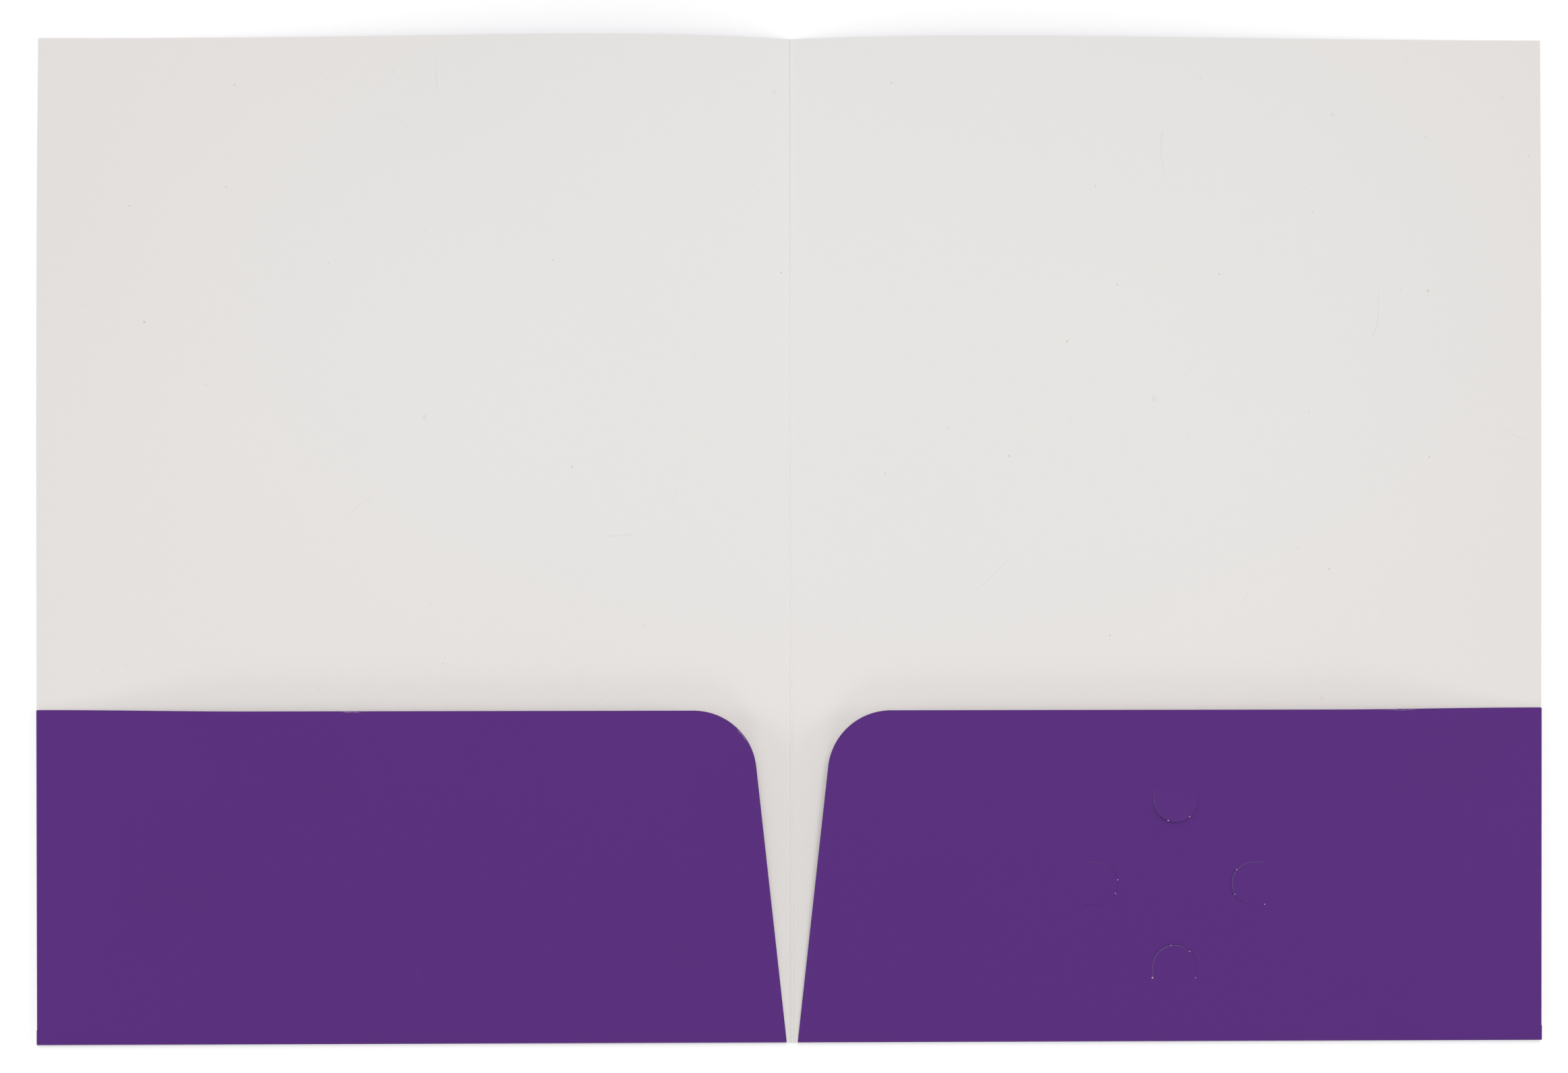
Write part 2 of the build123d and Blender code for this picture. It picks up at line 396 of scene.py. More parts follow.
def pocket_corner(side):
    """Foot of a pocket's inner edge, the way out of that edge, and the centre of its rounded top corner."""
    foot = Vector((side * SPINE_EDGE, FOLD_AXIS.y, POCKET_FACE))
    head = Vector((side * POCKET_SETBACK, MOUTH, POCKET_FACE))
    edge = head - foot
    outward = Vector((-side * edge.y, side * edge.x, 0)).normalized()
    centre_y = MOUTH - POCKET_CORNER
    centre_x = foot.x - (POCKET_CORNER + (centre_y - foot.y) * outward.y) / outward.x
    return foot, outward, Vector((centre_x, centre_y, POCKET_FACE))


def turn_about_fold(place, angle):
    """Turn a point about the axis of the bottom fold."""
    y = place.y - FOLD_AXIS.y
    z = place.z - FOLD_AXIS.z
    turned_y = FOLD_AXIS.y + y * cos(angle) - z * sin(angle)
    turned_z = FOLD_AXIS.z + y * sin(angle) + z * cos(angle)
    return Vector((place.x, turned_y, turned_z))


def gape_share(x):
    """How much of the gape a pocket has: none at its glued outer edge, all of it further in."""
    return smooth_step((OUTER_EDGE - abs(x)) / GAPE_RUN)


def open_mouth(piece):
    """Lift a flat pocket piece about the bottom fold, as its mouth gapes."""
    for vertex in piece.data.vertices:
        vertex.co = turn_about_fold(vertex.co, GAPE * gape_share(vertex.co.x))


def card_tab_frame(tab_name):
    """Place of a card tab on the flat pocket: X along the tab, Y across it, Z off its face."""
    joint = JOINTS[f"card_tab_{tab_name}_lift"]
    root = turn_about_fold(Vector(joint["pos_m"]), -GAPE)
    across = Vector(joint["axis"])
    across.z = 0
    across.normalize()
    along = across.cross(Vector((0, 0, 1)))
    turn = Matrix((along, across, along.cross(across))).transposed()
    return Matrix.Translation(root) @ turn.to_4x4()


def place_on_pocket(piece, tab_name):
    """Lay a piece that was modelled flat at the origin on the gaping pocket, at one card tab."""
    piece.data.transform(card_tab_frame(tab_name))
    open_mouth(piece)


def curl_height(tab_name, along):
    """How far a card tab has curled up off the pocket, at a distance from its root."""
    return CARD_TAB_LIFT[tab_name] * (max(0, along) / CARD_TAB_DEPTH) ** CURL_POWER


def half_round(name, margin):
    """A flat blank with one round end, in the shape of a card tab with a margin round it."""
    half = CARD_TAB_WIDTH / 2 + margin
    depth = CARD_TAB_DEPTH + margin
    blank = start_sheet(name, Vector((0, -half, 0)), Vector((depth, half, 0)), columns=1, rows=1)
    pick_vertices(blank, lambda place: place.x > depth / 2)
    bpy.ops.mesh.bevel(offset=half, segments=CARD_TIP_STEPS, affect="VERTICES")
    bpy.ops.mesh.select_all(action="SELECT")
    bpy.ops.mesh.remove_doubles(threshold=TIP_MERGE)
    close_sheet()
    return blank


# Shader helpers
def fill(tree, socket, value):
    """Fill a node's input with a value, or with a link from another node's output."""
    if isinstance(value, bpy.types.NodeSocket):
        tree.links.new(value, socket)
    else:
        socket.default_value = value


def new_node(tree, kind, inputs=None, **settings):
    """Add a node, set it up and fill its inputs."""
    made = tree.nodes.new(kind)
    for name, value in settings.items():
        setattr(made, name, value)
    for socket, value in (inputs or {}).items():
        fill(tree, made.inputs[socket], value)
    return made


def reckon(tree, operation, *values):
    """The output of one Math node."""
    return new_node(tree, "ShaderNodeMath", dict(enumerate(values)), operation=operation).outputs[0]


def sway(tree, pattern, amount, base):
    """A base value, raised by an amount as a pattern goes from 0 to 1."""
    return reckon(tree, "MULTIPLY_ADD", pattern, amount, base)


def opposite(tree, mask):
    """A mask turned round: 1 where it was 0."""
    return reckon(tree, "SUBTRACT", 1.0, mask)


def distance_from(tree, value, mark):
    """How far a value is from a mark, either way."""
    return reckon(tree, "ABSOLUTE", reckon(tree, "SUBTRACT", value, mark))


def fade(tree, value, start, end):
    """A smooth step from 0 at start to 1 at end."""
    inputs = {"Value": value, "From Min": start, "From Max": end}
    return new_node(tree, "ShaderNodeMapRange", inputs, interpolation_type="SMOOTHSTEP").outputs["Result"]


def noise(tree, place, scale, detail=2.0, roughness=0.5):
    """The grey output of a noise texture, with about as many clouds to the metre as its scale."""
    inputs = {"Vector": place, "Scale": scale, "Detail": detail, "Roughness": roughness}
    return new_node(tree, "ShaderNodeTexNoise", inputs).outputs[0]


def object_place(tree):
    """A piece's own coordinates, in metres."""
    return new_node(tree, "ShaderNodeTexCoord").outputs["Object"]


def axes_of(tree, place):
    """The X, Y and Z of a place."""
    return new_node(tree, "ShaderNodeSeparateXYZ", {0: place}).outputs


def length_of(tree, place):
    """The distance of a place from the origin."""
    return new_node(tree, "ShaderNodeVectorMath", {0: place}, operation="LENGTH").outputs["Value"]


def mix_colours(tree, share, first, second):
    """A colour between two others. A Mix node has its colour sockets after those for numbers and vectors."""
    first_colour, second_colour, mixed_colour = 6, 7, 2
    inputs = {"Factor": share, first_colour: first, second_colour: second}
    return new_node(tree, "ShaderNodeMix", inputs, data_type="RGBA").outputs[mixed_colour]


def shade_colour(tree, colour, tone):
    """A colour made lighter or darker by a tone around 1."""
    vector = colour if isinstance(colour, bpy.types.NodeSocket) else colour[:3]
    return new_node(tree, "ShaderNodeVectorMath", {0: vector, "Scale": tone}, operation="SCALE").outputs[0]


def new_group(name, inputs, outputs):
    """An empty node group with named sockets, and its input and output nodes."""
    group = bpy.data.node_groups.new(name, "ShaderNodeTree")
    for socket, kind in inputs.items():
        group.interface.new_socket(socket, in_out="INPUT", socket_type=kind)
    for socket in outputs:
        group.interface.new_socket(socket, in_out="OUTPUT", socket_type="NodeSocketFloat")
    return group, group.nodes.new("NodeGroupInput"), group.nodes.new("NodeGroupOutput")


def use_group(tree, group, inputs):
    """Place a node group in a material."""
    return new_node(tree, "ShaderNodeGroup", inputs, node_tree=group).outputs


def new_material(name):
    """An empty material with a Principled shader, and its tree."""
    material = bpy.data.materials.new(name)
    material.use_nodes = True
    tree = material.node_tree
    return material, tree, tree.nodes["Principled BSDF"]


def set_surface(tree, shader, colour, roughness, specular):
    """Give a shader its colour, and how rough and how shiny it is."""
    fill(tree, shader.inputs["Base Color"], colour)
    fill(tree, shader.inputs["Roughness"], roughness)
    shader.inputs["Specular IOR Level"].default_value = specular


def bump(tree, shader, height, strength, distance):
    """Raise a shader's surface by a height pattern."""
    inputs = {"Height": height, "Strength": strength, "Distance": distance}
    tree.links.new(new_node(tree, "ShaderNodeBump", inputs).outputs[0], shader.inputs["Normal"])


# Finishes that several materials share
def make_paper_fibre():
    """Fibres and cloudiness of uncoated board: a tone around 1 and a height."""
    tree, given, result = new_group("paper_fibre", {"Place": "NodeSocketVector"}, ("Tone", "Height"))
    place = given.outputs["Place"]
    fibre = noise(tree, place, scale=1500, detail=3.0, roughness=0.6)
    flock = noise(tree, place, scale=330)
    cloud = noise(tree, place, scale=11)
    tone = sway(tree, fibre, amount=0.018, base=0.978)
    tone = sway(tree, flock, amount=0.012, base=tone)
    tone = sway(tree, cloud, amount=0.014, base=tone)
    tree.links.new(tone, result.inputs["Tone"])
    tree.links.new(reckon(tree, "ADD", fibre, flock), result.inputs["Height"])
    return tree


def oval_reach(tree, place, centre, radii):
    """Distance from the middle of an oval, where 1 is the oval itself."""
    shift = [-middle / radius for middle, radius in zip(centre, radii)]
    scale = [1 / radius for radius in radii]
    inputs = {"Vector": place, "Location": (*shift, 0), "Scale": (*scale, 0)}
    return length_of(tree, new_node(tree, "ShaderNodeMapping", inputs).outputs[0])


def make_board_tinge_and_shade():
    """How far the board turns pinker and darker away from the middle of the spread: two masks, a tinge that is
    partly yellowing and partly painted bounce light from the purple pockets, and painted shade.
    """
    tree, given, result = new_group("board_tinge_and_shade", {"Place": "NodeSocketVector"}, ("Tinge", "Shade"))
    place = given.outputs["Place"]
    # The pinker tinge outside the first oval: partly yellowing, partly painted bounce light from the purple
    # pockets
    untinged_reach = oval_reach(tree, place, UNTINGED_CENTRE, UNTINGED_RADII)
    tree.links.new(fade(tree, untinged_reach, start=0.7, end=1.25), result.inputs["Tinge"])
    # Painted shade, darker away from the middle of the spread
    bright_reach = oval_reach(tree, place, BRIGHT_CENTRE, BRIGHT_RADII)
    tree.links.new(fade(tree, bright_reach, start=0.35, end=1.25), result.inputs["Shade"])
    return tree


def make_film_grain():
    """Laminated film: a tone around 1, its roughness and the faint orange peel of its face."""
    outputs = ("Tone", "Roughness", "Height")
    tree, given, result = new_group("film_grain", {"Place": "NodeSocketVector"}, outputs)
    place = given.outputs["Place"]
    peel = noise(tree, place, scale=900, detail=1.0)
    haze = noise(tree, place, scale=17, detail=3.0, roughness=0.6)
    tree.links.new(sway(tree, haze, amount=0.05, base=0.975), result.inputs["Tone"])
    tree.links.new(sway(tree, haze, amount=0.10, base=0.33), result.inputs["Roughness"])
    tree.links.new(peel, result.inputs["Height"])
    return tree


def make_hairline_scuff():
    """Short curved hairlines where something has slid over a sheet: a mask."""
    inputs = {"Place": "NodeSocketVector", "Sparseness": "NodeSocketFloat"}
    tree, given, result = new_group("hairline_scuff", inputs, ("Scuff",))
    place = given.outputs["Place"]
    middle_grey = 0.5
    from_curve = distance_from(tree, noise(tree, place, scale=14, detail=0.0), middle_grey)
    curve = opposite(tree, fade(tree, from_curve, start=0.0004, end=0.0014))
    clouds = noise(tree, place, scale=47, detail=1.0)
    patch = fade(tree, reckon(tree, "SUBTRACT", clouds, given.outputs["Sparseness"]), start=0, end=0.05)
    tree.links.new(reckon(tree, "MULTIPLY", curve, patch), result.inputs["Scuff"])
    return tree


def make_edge_wear():
    """Bare board where the film has been scraped off in streaks along an edge: a mask."""
    inputs = {"Place": "NodeSocketVector", "Distance": "NodeSocketFloat", "Reach": "NodeSocketFloat"}
    tree, given, result = new_group("edge_marks", inputs, ("Bare",))
    axes = axes_of(tree, given.outputs["Place"])
    distance = given.outputs["Distance"]
    along = reckon(tree, "ADD", reckon(tree, "ABSOLUTE", axes["X"]), axes["Y"])
    streak_place = {
        "X": reckon(tree, "DIVIDE", along, STREAK_LENGTH),
        "Y": reckon(tree, "DIVIDE", distance, STREAK_WIDTH),
    }
    grain = new_node(tree, "ShaderNodeCombineXYZ", streak_place).outputs[0]
    streak = fade(tree, noise(tree, grain, scale=1.0), start=0.50, end=0.60)
    depth = reckon(tree, "SUBTRACT", given.outputs["Reach"], distance)
    within = reckon(tree, "MULTIPLY", fade(tree, depth, start=0, end=WORN_REACH / 2), WORN_DEPTH)
    inside = fade(tree, distance, start=WORN_INSET / 2, end=WORN_INSET)
    scraped = reckon(tree, "MULTIPLY", streak, reckon(tree, "MULTIPLY", within, inside))
    tree.links.new(scraped, result.inputs["Bare"])
    return tree


PAPER_FIBRE = make_paper_fibre()
BOARD_TINGE_AND_SHADE = make_board_tinge_and_shade()
FILM_GRAIN = make_film_grain()
EDGE_WEAR = make_edge_wear()
HAIRLINE_SCUFF = make_hairline_scuff()


def flecks(tree, place, spacing, largest, smallest):
    """Round flecks of many sizes, one to a cell of a rough grid, none where the size is below 0: a mask."""
    inputs = {"Vector": place, "Scale": 1 / spacing}
    cells = new_node(tree, "ShaderNodeTexVoronoi", inputs, voronoi_dimensions="2D")
    chance = new_node(tree, "ShaderNodeSeparateColor", {0: cells.outputs["Color"]}).outputs[0]
    size = sway(tree, chance, amount=(largest - smallest) / spacing, base=smallest / spacing)
    depth = reckon(tree, "SUBTRACT", size, cells.outputs["Distance"])
    return fade(tree, depth, start=0, end=largest / spacing / 2)


def board_colour(tree, place):
    """The white of the board, tinged pinker and darkened with painted shade away from the middle."""
    tinge_and_shade = use_group(tree, BOARD_TINGE_AND_SHADE, {"Place": place})
    colour = mix_colours(tree, tinge_and_shade["Tinge"], WHITE_BOARD, TINGED_BOARD)
    # Painted shade darkens the board away from the middle
    return shade_colour(tree, colour, sway(tree, tinge_and_shade["Shade"], amount=-PAINTED_SHADE_DEPTH, base=1.0))


# Materials
def white_board_material():
    """Uncoated white board inside the folder: yellowed a little at its outer edges, pinker near the pockets
    with painted bounce light, darker away from the middle with painted shade, with specks and scuffs.
    """
    material, tree, shader = new_material("white_board")
    place = object_place(tree)
    fibre = use_group(tree, PAPER_FIBRE, {"Place": place})
    colour = board_colour(tree, place)
    for spacing, largest, smallest, strength, mark_colour in BOARD_MARKS:
        marks = flecks(tree, place, spacing, largest, smallest)
        colour = mix_colours(tree, reckon(tree, "MULTIPLY", marks, strength), colour, mark_colour)
    scuffs = use_group(tree, HAIRLINE_SCUFF, {"Place": place, "Sparseness": 0.62})
    scuff_strength = 0.35
    scuffed = reckon(tree, "MULTIPLY", scuffs["Scuff"], scuff_strength)
    colour = mix_colours(tree, scuffed, colour, SCUFF_GREY)
    set_surface(tree, shader, shade_colour(tree, colour, fibre["Tone"]), roughness=0.82, specular=0.25)
    bump(tree, shader, fibre["Height"], strength=0.25, distance=0.02 * MM)
    return material


def creased_board_material():
    """White board along the spine, with darker lines at both feet of the pressed bead: burnishing and painted
    crease shade.
    """
    material, tree, shader = new_material("creased_board")
    place = object_place(tree)
    axes = axes_of(tree, place)
    fibre = use_group(tree, PAPER_FIBRE, {"Place": place})
    # Darker lines at the bead's feet, partly burnishing and partly painted crease shade: the front one
    # strongest at the head, the back one only from the middle down to the foot
    middle = (MOUTH + HEAD) / 2
    near_head = fade(tree, axes["Y"], start=middle, end=HEAD)
    near_foot = fade(tree, axes["Y"], start=middle, end=FOOT)
    front_crease_line = sway(tree, near_foot, amount=0.4, base=0.25)
    front_crease_line = sway(tree, near_head, amount=0.75, base=front_crease_line)
    back_crease_line = sway(tree, near_foot, amount=0.5, base=0.0)
    crease_lines = 0.0
    for bead_foot, line_strength in ((-BEAD_FOOT, front_crease_line), (BEAD_FOOT, back_crease_line)):
        away = distance_from(tree, axes["X"], bead_foot)
        line = opposite(tree, fade(tree, away, start=CREASE_LINE_CORE, end=CREASE_LINE_REACH))
        crease_lines = reckon(tree, "MULTIPLY_ADD", line, line_strength, crease_lines)
    patchy = sway(tree, noise(tree, place, scale=90), amount=0.6, base=0.7)
    worn = reckon(tree, "MULTIPLY", crease_lines, patchy)
    colour = mix_colours(tree, worn, board_colour(tree, place), CREASE_LINE_BOARD)
    set_surface(tree, shader, shade_colour(tree, colour, fibre["Tone"]), roughness=0.78, specular=0.25)
    bump(tree, shader, fibre["Height"], strength=0.25, distance=0.02 * MM)
    return material


def board_core_material():
    """The cut edge of the board: bare fibres, a little darker than its face."""
    material, tree, shader = new_material("board_core")
    place = object_place(tree)
    fibre = use_group(tree, PAPER_FIBRE, {"Place": place})
    raggedness = 0.12
    ragged = sway(tree, noise(tree, place, scale=2600), amount=raggedness, base=fibre["Tone"])
    tone = reckon(tree, "SUBTRACT", ragged, raggedness / 2)
    set_surface(tree, shader, shade_colour(tree, BOARD_CORE, tone), roughness=0.9, specular=0.2)
    bump(tree, shader, fibre["Height"], strength=0.5, distance=0.03 * MM)
    return material


def film_material(name, edge_marks=None, bare=WHITE_BOARD):
    """Purple laminated film with a satin face, with marks along its edges: scraped film where the edge is
    handled, and on the card tabs a painted highlight.
    """
    material, tree, shader = new_material(name)
    place = object_place(tree)
    grain = use_group(tree, FILM_GRAIN, {"Place": place})
    scuffs = use_group(tree, HAIRLINE_SCUFF, {"Place": place, "Sparseness": 0.60})
    colour = shade_colour(tree, PURPLE_FILM, sway(tree, scuffs["Scuff"], amount=0.12, base=grain["Tone"]))
    # Edge marks show the given colour: bare board where the film is scraped, pale lilac for the card tabs'
    # painted highlight
    if edge_marks:
        colour = mix_colours(tree, edge_marks(tree), colour, bare)
    roughness = sway(tree, scuffs["Scuff"], amount=0.15, base=grain["Roughness"])
    set_surface(tree, shader, colour, roughness, specular=0.25)
    bump(tree, shader, grain["Height"], strength=0.06, distance=0.03 * MM)
    return material


def cover_edge_wear(tree):
    """Scraped film along the outer edges of a cover, in patches."""
    place = object_place(tree)
    axes = axes_of(tree, place)
    from_side = reckon(tree, "SUBTRACT", OUTER_EDGE, reckon(tree, "ABSOLUTE", axes["X"]))
    from_head = reckon(tree, "SUBTRACT", HEAD, axes["Y"])
    distance = reckon(tree, "MINIMUM", from_side, from_head)
    patch = fade(tree, noise(tree, place, scale=38), start=0.54, end=0.72)
    reach = reckon(tree, "MULTIPLY", patch, WORN_REACH)
    return use_group(tree, EDGE_WEAR, {"Place": place, "Distance": distance, "Reach": reach})["Bare"]


def pocket_edge_wear(tree):
    """Scraped film at the worn spots of the pockets' mouths and rounded corners."""
    centre = pocket_corner(SIDES["back"])[2]
    blank = new_node(tree, "ShaderNodeUVMap", uv_map="blank").outputs[0]
    axes = axes_of(tree, blank)
    from_mouth = reckon(tree, "SUBTRACT", MOUTH, axes["Y"])
    inward = reckon(tree, "SUBTRACT", centre.x, reckon(tree, "ABSOLUTE", axes["X"]))
    upward = reckon(tree, "SUBTRACT", axes["Y"], centre.y)
    spread = reckon(tree, "MULTIPLY_ADD", upward, upward, reckon(tree, "MULTIPLY", inward, inward))
    from_arc = reckon(tree, "SUBTRACT", POCKET_CORNER, reckon(tree, "SQRT", spread))
    is_inward = reckon(tree, "GREATER_THAN", inward, 0.0)
    is_upward = reckon(tree, "GREATER_THAN", upward, 0.0)
    elsewhere = opposite(tree, reckon(tree, "MULTIPLY", is_inward, is_upward))
    distance = reckon(tree, "MINIMUM", from_mouth, reckon(tree, "ADD", from_arc, elsewhere))
    worn = 0.0
    for spot, half_width in WORN_SPOTS:
        away = distance_from(tree, axes["X"], spot)
        near = opposite(tree, fade(tree, away, start=0.0, end=half_width))
        worn = reckon(tree, "MAXIMUM", worn, near)
    reach = reckon(tree, "MULTIPLY", worn, WORN_REACH)
    return use_group(tree, EDGE_WEAR, {"Place": blank, "Distance": distance, "Reach": reach})["Bare"]


def card_tab_rim_highlight(tree):
    """A painted highlight along the cut edges of a card tab that face the head and the left, as the sheet's
    own attribute says, broken into patches.
    """
    rim_highlight = new_node(tree, "ShaderNodeAttribute", attribute_name="rim_highlight").outputs["Fac"]
    patchy = sway(tree, noise(tree, object_place(tree), scale=700), amount=0.8, base=0.6)
    return reckon(tree, "MULTIPLY", rim_highlight, patchy)


def torn_fibre_material(name, fibre_colour, shred_share):
    """Fibres torn out of a cut edge, with shreds of film among them."""
    material, tree, shader = new_material(name)
    place = object_place(tree)
    fibre = use_group(tree, PAPER_FIBRE, {"Place": place})
    first_shred = 0.80 - shred_share
    last_shred = 1.10 - shred_share
    shreds = fade(tree, noise(tree, place, scale=4000), start=first_shred, end=last_shred)
    colour = mix_colours(tree, shreds, fibre_colour, PURPLE_FILM)
    set_surface(tree, shader, shade_colour(tree, colour, fibre["Tone"]), roughness=0.95, specular=0.2)
    bump(tree, shader, fibre["Height"], strength=0.6, distance=0.05 * MM)
    return material


def adhesive_material():
    """A dried line of paper glue, slightly yellow and uneven."""
    material, tree, shader = new_material("dried_glue")
    beads = noise(tree, object_place(tree), scale=420)
    colour = shade_colour(tree, DRIED_GLUE, sway(tree, beads, amount=0.16, base=0.92))
    roughness = sway(tree, beads, amount=0.2, base=0.35)
    set_surface(tree, shader, colour, roughness, specular=0.5)
    bump(tree, shader, beads, strength=0.3, distance=0.04 * MM)
    return material


WHITE = white_board_material()
CREASED = creased_board_material()
CORE = board_core_material()
FILM = film_material("purple_film")
COVER_FILM = film_material("cover_film", cover_edge_wear)
POCKET_FILM = film_material("pocket_film", pocket_edge_wear)
# The card tabs' film carries a painted highlight along its edges that face the head and the left
CARD_TAB_FILM = film_material("card_tab_film", card_tab_rim_highlight, RIM_LILAC)
TORN = torn_fibre_material("torn_fibre", BOARD_CORE, shred_share=0.40)
FRAYED = torn_fibre_material("frayed_edge", RIM_LILAC, shred_share=0.42)
GLUE = adhesive_material()


# Pieces
def make_cover(side_name):
    """One cover: a sheet that lies flat under its pocket and bows up towards its head."""
    side = SIDES[side_name]
    low = Vector((side * SPINE_EDGE, FOLD_AXIS.y, 0))
    high = Vector((side * OUTER_EDGE, HEAD, 0))
    cover = start_sheet(f"{side_name}_cover_sheet", low, high, *COVER_GRID)
    for vertex in cover.data.vertices:
        vertex.co = bowed_place(side_name, vertex.co.x, vertex.co.y)
    face_film(cover, Vector((0, 0, -1)))
    keep_cut_edges(cover)
    thicken(cover)
    dress(cover, COVER_FILM, WHITE, CORE)
    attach(cover, f"{side_name}_cover")
    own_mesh(cover)
    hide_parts(f"{side_name}_cover_board", f"{side_name}_cover_film")


def make_spine():
    """The strip between the covers, with a pressed bead inside and a groove outside."""
    low = Vector((-SPINE_EDGE, FOOT, 0))
    high = Vector((SPINE_EDGE, HEAD, 0))
    strip = start_sheet("spine_strip", low, high, *SPINE_GRID)
    for vertex in strip.data.vertices:
        side_name = "front" if vertex.co.x < 0 else "back"
        flank = bow_height(side_name, cover_reach(vertex.co.x), vertex.co.y)
        vertex.co.z = bead_height(vertex.co.x) + flank
    face_film(strip, Vector((0, 0, -1)))
    keep_cut_edges(strip)
    thicken(strip)
    dress(strip, FILM, CREASED, CORE)
    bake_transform(strip)
    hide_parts("spine_crease_board", "spine_crease_film")


def map_blank(sheet):
    """Keep each corner's place on the flat blank, in metres, as a UV map."""
    blank = sheet.data.uv_layers.new(name="blank")
    for loop in sheet.data.loops:
        place = sheet.data.vertices[loop.vertex_index].co
        blank.data[loop.index].uv = (place.x, place.y)


def cut_card_slot(sheet, tab_name):
    """Die cut one half-round slot through the flat pocket, a hair wider than its tab."""
    cutter = half_round(f"card_slot_{tab_name}_cutter", CUT_LINE + CUT_GAP / 2)
    dress(cutter, *sheet.data.materials)
    cutter.data.transform(card_tab_frame(tab_name))
    depth = cutter.modifiers.new("depth", "SOLIDIFY")
    depth.thickness = CUTTER_THICKNESS
    depth.offset = 0
    apply_modifier(cutter, depth)
    slot = sheet.modifiers.new("slot", "BOOLEAN")
    slot.operation = "DIFFERENCE"
    slot.solver = "EXACT"
    slot.object = cutter
    apply_modifier(sheet, slot)
    bpy.data.objects.remove(cutter)


def round_inner_corner(pocket, side):
    """Cut a pocket's tapered inner edge, and round its top corner by many straight cuts."""
    foot, outward, centre = pocket_corner(side)
    trim(pocket, foot, outward)
    first = atan2(outward.y, outward.x)
    for count in range(CORNER_CUTS + 1):
        angle = first + (pi / 2 - first) * count / CORNER_CUTS
        tangent = Vector((cos(angle), sin(angle), 0))
        trim(pocket, centre + tangent * POCKET_CORNER, tangent)


def draw_in_outer_edge(pocket, side):
    """Draw a pocket's outer edge in above a small notch, where the side fold joins it."""
    for height in (TAB_LOW.y, TAB_LOW.y + SIDE_FOLD_NOTCH):
        score(pocket, Vector((0, height, 0)), Vector((0, 1, 0)))
    notch_middle = TAB_LOW.y + SIDE_FOLD_NOTCH / 2
    pick_vertices(pocket, lambda place: abs(place.x) > SIDE_FOLD_X and place.y > notch_middle)
    bpy.ops.transform.translate(value=(-side * SIDE_FOLD_RADIUS, 0, 0))
    close_sheet()


def make_pocket(side_name):
    """One pocket: folded up round the bottom edge, tapered at the spine, and gaping at its mouth."""
    side = SIDES[side_name]
    low = Vector((side * SPINE_EDGE, FOLD_AXIS.y, POCKET_FACE))
    high = Vector((side * OUTER_EDGE, MOUTH, POCKET_FACE))
    pocket = start_sheet(f"{side_name}_pocket_sheet", low, high, *POCKET_GRID)
    round_inner_corner(pocket, side)
    draw_in_outer_edge(pocket, side)
    fold_over(pocket, lambda place: place.y < FOLD_AXIS.y + LINE_MARGIN, FOLD_AXIS, (-1, 0, 0))
    face_film(pocket, Vector((0, 0, 1)))

    dress(pocket, POCKET_FILM, WHITE, CORE)
    apply_modifier(pocket, thicken(pocket))
    if side_name == "back":
        for tab_name in CARD_TAB_LIFT:
            cut_card_slot(pocket, tab_name)
    map_blank(pocket)
    open_mouth(pocket)
    bpy.ops.object.shade_smooth_by_angle(angle=POCKET_SHARPNESS)

    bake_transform(pocket)
    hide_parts(f"{side_name}_pocket_board", f"{side_name}_pocket_film", f"{side_name}_bottom_fold")


def make_gusset(side_name):
    """The glue tab on the cover and the tight side fold that joins it to the pocket's outer edge."""
    side = SIDES[side_name]
    low = Vector((side * TAB_LOW.x, TAB_LOW.y, TAB_LOW.z))
    high = Vector((side * SIDE_FOLD_X, TAB_HIGH.y, TAB_LOW.z))
    gusset = start_sheet(f"{side_name}_glue_tab_sheet", low, high, *GLUE_TAB_GRID)
    width = SIDE_FOLD_X - TAB_LOW.x
    for end_y, way in ((TAB_HIGH.y, 1), (TAB_LOW.y, -1)):
        slant = Vector((-side * GLUE_TAB_TAPER, way * width, 0)).normalized()
        trim(gusset, Vector((high.x, end_y, TAB_LOW.z)), slant)
    fold_centre = Vector((high.x, 0, TAB_LOW.z + SIDE_FOLD_RADIUS))
    fold_over(gusset, lambda place: abs(place.x) > SIDE_FOLD_X - LINE_MARGIN, fold_centre, (0, side, 0))
    face_film(gusset, Vector((0, 0, -1)))
    keep_cut_edges(gusset)
    thicken(gusset)
    dress(gusset, FILM, WHITE, CORE)
    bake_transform(gusset)
    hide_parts(f"{side_name}_glue_tab", f"{side_name}_side_fold")


def flatten_when_closed(piece):
    """Give a lifted card piece a mesh of its own."""
    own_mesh(piece)


def mark_rim_highlight(tab, tab_name):
    """Note on each vertex of a flat card tab how strong the painted highlight along its cut edge is."""
    page = card_tab_frame(tab_name).to_3x3()
    rim = CARD_TAB_WIDTH / 2 + CUT_LINE - CUT_GAP / 2 - RIM_HIGHLIGHT_REACH / 2
    rim_highlight = tab.data.attributes.new("rim_highlight", "FLOAT", "POINT")
    for vertex in tab.data.vertices:
        outward = Vector((max(0, vertex.co.x - CARD_TAB_STRAIGHT), vertex.co.y, 0))
        if outward.length > rim and vertex.co.x > RIM_HIGHLIGHT_REACH / 2:
            # Painted highlight: strongest where the edge faces the head and the left
            facing = (page @ outward.normalized()).dot(RIM_HIGHLIGHT_WAY)
            share = max(0, facing + RIM_HIGHLIGHT_ROUND) / (1 + RIM_HIGHLIGHT_ROUND)
            rim_highlight.data[vertex.index].value = share * RIM_HIGHLIGHT_SHARE[tab_name]


